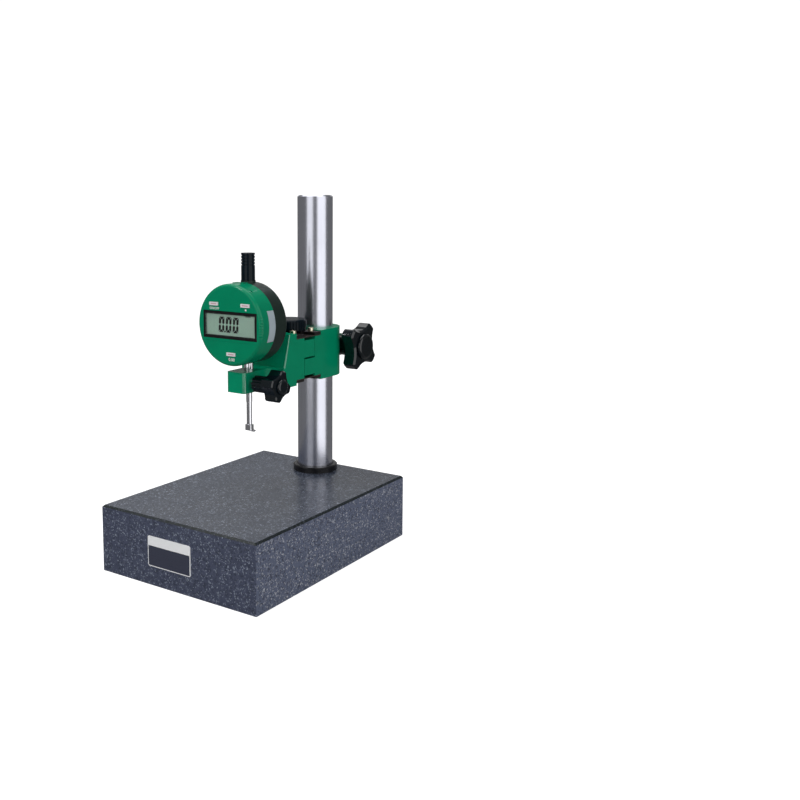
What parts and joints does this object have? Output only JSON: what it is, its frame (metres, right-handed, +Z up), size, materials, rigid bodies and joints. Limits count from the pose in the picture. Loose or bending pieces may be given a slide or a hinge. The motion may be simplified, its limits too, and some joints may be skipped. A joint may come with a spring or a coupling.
{
  "type": "digital groove gauge on a granite comparator stand",
  "caption": "Digital groove gauge: round digital indicator with a hooked contact, held by a finely adjustable arm on a column that stands on a granite block.",
  "frame": {"origin": "centre of the granite block's underside", "axes": "+Z up along the column; the front, with the display, faces -Y, and the column stands towards +Y; +X is right as seen from the front, the side of the two grips"},
  "size_m": [0.15, 0.2183, 0.288],
  "materials": {
    "granite": "ground and lapped",
    "plate": "bare, satin",
    "ground_steel": "ground",
    "black_ring": "black oxide",
    "bolt_steel": "zinc plated",
    "green_casting": "glossy enamel",
    "holding_plates": "ground",
    "spring_steel": "tempered",
    "polished_steel": "polished",
    "black_grip": "glossy",
    "brass": "turned",
    "black_metal": "black anodised",
    "green_shell": "glossy",
    "black_shell": "satin",
    "display_frame": "glossy",
    "display_glass": "clear",
    "display_panel": "liquid crystal cell",
    "connector": "conductive rubber",
    "board": "solder resist",
    "chip": "moulded",
    "scale": "etched laminate",
    "rail": "moulded",
    "buttons": "glossy",
    "drawer": "satin",
    "cell": "polished"
  },
  "bodies": {
    "base": {"granite_base": "granite", "name_plate": "plate", "column": "ground_steel", "column_collar": "black_ring", "column_bolt": "bolt_steel", "column_washer": "bolt_steel"},
    "clamp": {"clamp_block": "green_casting", "clamp_bolt": "bolt_steel", "clamp_washer": "bolt_steel", "thrust_pad": "polished_steel", "upper_leaf_spring": "spring_steel", "lower_leaf_spring": "spring_steel", "block_upper_plate": "holding_plates", "block_lower_plate": "holding_plates", "block_plate_screws": "bolt_steel"},
    "clamp_grip": {"clamp_knob": "black_grip", "clamp_knob_insert": "brass"},
    "fine_adjuster": {"fine_knob": "black_metal", "fine_screw": "polished_steel"},
    "arm": {"arm": "green_casting", "arm_upper_plate": "holding_plates", "arm_lower_plate": "holding_plates", "arm_plate_screws": "bolt_steel", "stem_cotter": "polished_steel", "stem_cotter_bolt": "polished_steel"},
    "stem_grip": {"stem_knob": "black_grip", "stem_knob_insert": "brass"},
    "indicator": {"front_shell": "green_shell", "rear_shell": "black_shell", "case_screws": "bolt_steel", "lcd_bezel": "display_frame", "lcd_window": "display_glass", "lcd_panel": "display_panel", "lcd_connector": "connector", "circuit_board": "board", "sensor_chip": "chip", "button_pads": "connector", "battery_holder": "chip", "stem": "polished_steel", "lower_bush": "brass", "upper_bush": "brass", "spindle_cap": "black_shell", "guide_rail": "rail", "return_spring": "spring_steel"},
    "spindle": {"spindle": "polished_steel", "scale_carrier": "chip", "scale_strip": "scale", "guide_pin": "polished_steel", "contact_rod": "polished_steel", "groove_tip": "polished_steel"},
    "battery_drawer": {"battery_tray": "drawer", "coin_cell": "cell"},
    "left_button": {"button_left": "buttons"},
    "right_button": {"button_right": "buttons"},
    "zero_button": {"button_zero": "buttons"}
  },
  "joints": [
    {"name": "column_slide", "type": "slide", "parent": "base", "child": "clamp", "axis": [0, 0, 1], "range_m": [-0.045, 0.1]},
    {"name": "clamp_knob_turn", "type": "hinge", "parent": "clamp", "child": "clamp_grip", "pos_m": [0.0136, 0.099, 0.1594], "axis": [1, 0, 0], "range_deg": [0, 360]},
    {"name": "fine_knob_turn", "type": "hinge", "parent": "clamp", "child": "fine_adjuster", "pos_m": [0, 0.03965, 0.1772], "axis": [0, 0, 1], "range_deg": [-289, 289]},
    {"name": "arm_lift", "type": "slide", "parent": "clamp", "child": "arm", "axis": [0, 0, 1], "range_m": [-0.0004, 0.0004], "deforming": ["upper_leaf_spring", "lower_leaf_spring"]},
    {"name": "stem_knob_turn", "type": "hinge", "parent": "arm", "child": "stem_grip", "pos_m": [0.0124, -0.0195, 0.143], "axis": [1, 0, 0], "range_deg": [0, 360]},
    {"name": "indicator_swivel", "type": "hinge", "parent": "arm", "child": "indicator", "pos_m": [0, -0.013, 0.16], "axis": [0, 0, 1], "range_deg": [-40, 40]},
    {"name": "spindle_lift", "type": "slide", "parent": "indicator", "child": "spindle", "axis": [0, 0, 1], "range_m": [0, 0.0127], "stiffness_N_per_m": 50, "springref_m": -0.014, "deforming": ["return_spring"]},
    {"name": "battery_drawer_slide", "type": "slide", "parent": "indicator", "child": "battery_drawer", "axis": [1, 0, 0], "range_m": [0, 0.024]},
    {"name": "left_button_press", "type": "slide", "parent": "indicator", "child": "left_button", "axis": [0, 1, 0], "range_m": [0, 0.0005], "stiffness_N_per_m": 400},
    {"name": "right_button_press", "type": "slide", "parent": "indicator", "child": "right_button", "axis": [0, 1, 0], "range_m": [0, 0.0005], "stiffness_N_per_m": 400},
    {"name": "zero_button_press", "type": "slide", "parent": "indicator", "child": "zero_button", "axis": [0, 1, 0], "range_m": [0, 0.0005], "stiffness_N_per_m": 400}
  ],
  "couplings": [
    {"joint": "fine_knob_turn", "follows": "arm_lift", "rad_per_m": -12566}
  ]
}
